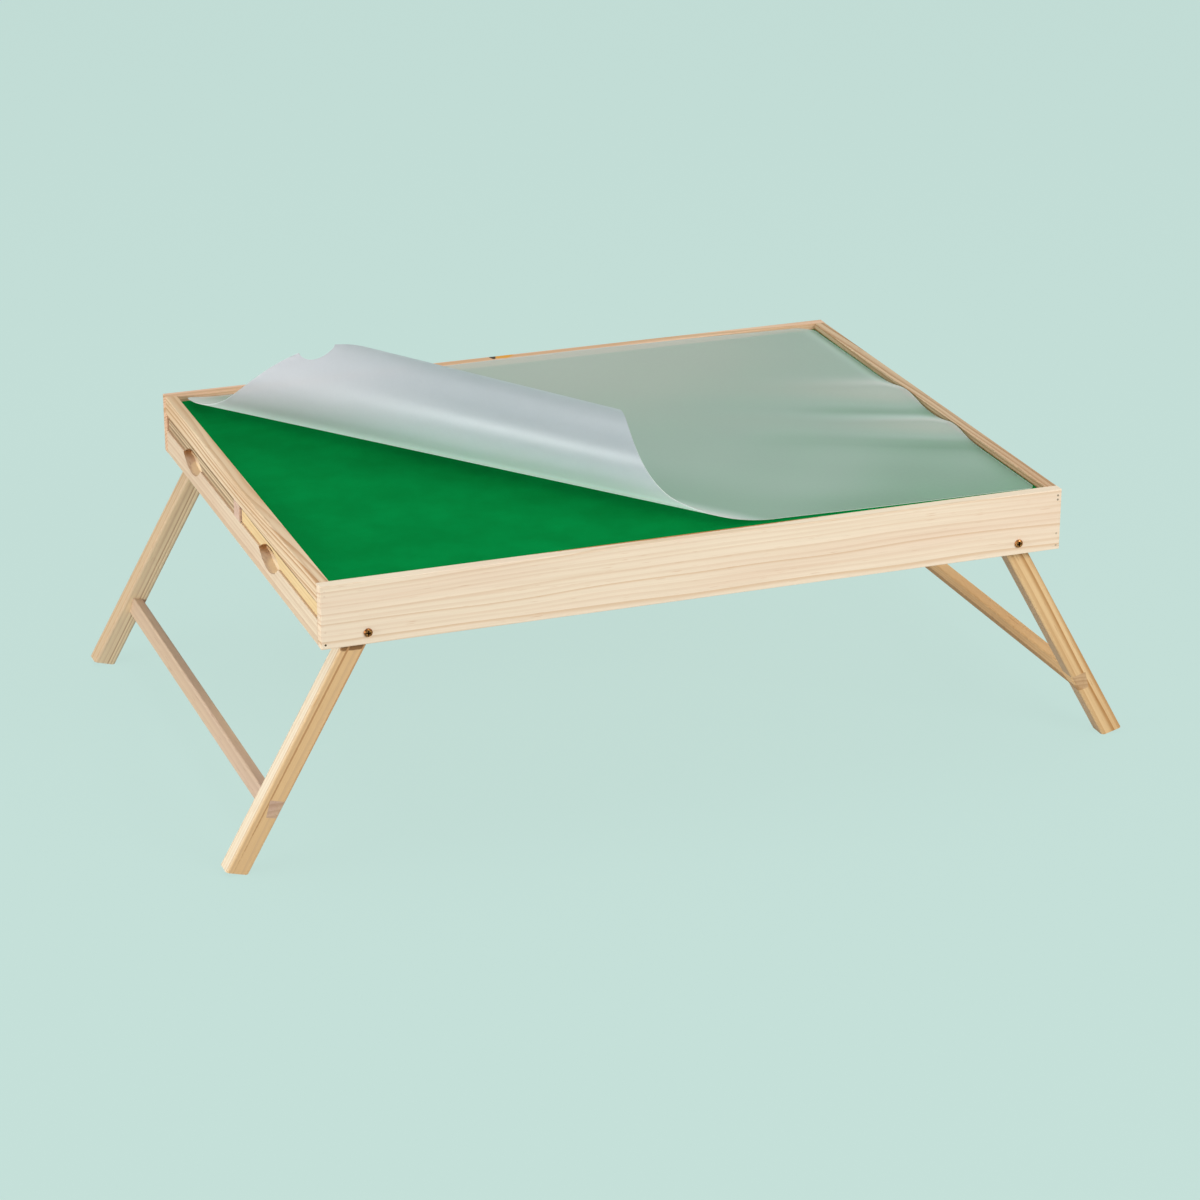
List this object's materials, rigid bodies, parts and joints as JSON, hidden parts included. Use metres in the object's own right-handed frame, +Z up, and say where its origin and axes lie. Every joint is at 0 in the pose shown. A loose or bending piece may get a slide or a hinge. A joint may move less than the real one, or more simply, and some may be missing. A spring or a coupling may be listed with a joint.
{
  "type": "folding puzzle table",
  "caption": "Low pine puzzle table with a felt-lined tray, sorting drawers in its short sides, splayed fold-flat legs and a frosted cover sheet with one corner curled back.",
  "frame": {"origin": "on the floor under the middle of the tray", "axes": "+X along the long side to the right, +Y from the front rail to the rear rail, +Z up"},
  "size_m": [1.0776, 0.6798, 0.4441],
  "materials": {
    "pine_rail": "planed bare pine",
    "pine_strip": "planed bare pine",
    "pine_leg": "planed bare pine, golden",
    "pine_stretcher": "planed bare pine",
    "pine_drawer": "planed bare pine",
    "pine_batten": "sawn pine",
    "plywood": "thin plywood",
    "green_felt": "short felt",
    "frosted_sheet": "frosted translucent",
    "bronzed_bolt": "antique bronze",
    "zinc_steel": "zinc plated",
    "nail_steel": "dull nail heads"
  },
  "bodies": {
    "tray": {"front_rail": "pine_rail", "rear_rail": "pine_rail", "left_upper_strip": "pine_strip", "left_lower_strip": "pine_strip", "right_upper_strip": "pine_strip", "right_lower_strip": "pine_strip", "work_panel": "plywood", "felt_surface": "green_felt", "base_panel": "plywood", "panel_bearers": "pine_batten", "centre_divider": "pine_strip", "drawer_stop": "pine_batten", "leg_spacers": "pine_batten", "pivot_bolts": "bronzed_bolt", "pivot_washers": "zinc_steel", "pivot_nuts": "zinc_steel", "rail_nails": "nail_steel"},
    "left_leg_frame": {"left_front_leg": "pine_leg", "left_rear_leg": "pine_leg", "left_stretcher": "pine_stretcher"},
    "right_leg_frame": {"right_front_leg": "pine_leg", "right_rear_leg": "pine_leg", "right_stretcher": "pine_stretcher"},
    "left_front_drawer": {"left_front_drawer_front": "pine_drawer", "left_front_drawer_bottom": "plywood", "left_front_drawer_near_side": "pine_batten", "left_front_drawer_far_side": "pine_batten", "left_front_drawer_back": "pine_batten"},
    "left_rear_drawer": {"left_rear_drawer_front": "pine_drawer", "left_rear_drawer_bottom": "plywood", "left_rear_drawer_near_side": "pine_batten", "left_rear_drawer_far_side": "pine_batten", "left_rear_drawer_back": "pine_batten"},
    "right_front_drawer": {"right_front_drawer_front": "pine_drawer", "right_front_drawer_bottom": "plywood", "right_front_drawer_near_side": "pine_batten", "right_front_drawer_far_side": "pine_batten", "right_front_drawer_back": "pine_batten"},
    "right_rear_drawer": {"right_rear_drawer_front": "pine_drawer", "right_rear_drawer_bottom": "plywood", "right_rear_drawer_near_side": "pine_batten", "right_rear_drawer_far_side": "pine_batten", "right_rear_drawer_back": "pine_batten"},
    "cover": {"cover_sheet": "frosted_sheet"}
  },
  "joints": [
    {"name": "left_leg_fold", "type": "hinge", "parent": "tray", "child": "left_leg_frame", "pos_m": [-0.379, 0, 0.26616], "axis": [0, -1, 0], "range_deg": [0, 119.2]},
    {"name": "right_leg_fold", "type": "hinge", "parent": "tray", "child": "right_leg_frame", "pos_m": [0.379, 0, 0.26616], "axis": [0, 1, 0], "range_deg": [0, 119.2]},
    {"name": "left_front_drawer_slide", "type": "slide", "parent": "tray", "child": "left_front_drawer", "axis": [-1, 0, 0], "range_m": [0, 0.3]},
    {"name": "left_rear_drawer_slide", "type": "slide", "parent": "tray", "child": "left_rear_drawer", "axis": [-1, 0, 0], "range_m": [0, 0.3]},
    {"name": "right_front_drawer_slide", "type": "slide", "parent": "tray", "child": "right_front_drawer", "axis": [1, 0, 0], "range_m": [0, 0.3]},
    {"name": "right_rear_drawer_slide", "type": "slide", "parent": "tray", "child": "right_rear_drawer", "axis": [1, 0, 0], "range_m": [0, 0.3]},
    {"name": "cover_lift", "type": "slide", "parent": "tray", "child": "cover", "axis": [0, 0, 1], "range_m": [0, 0.2]}
  ]
}
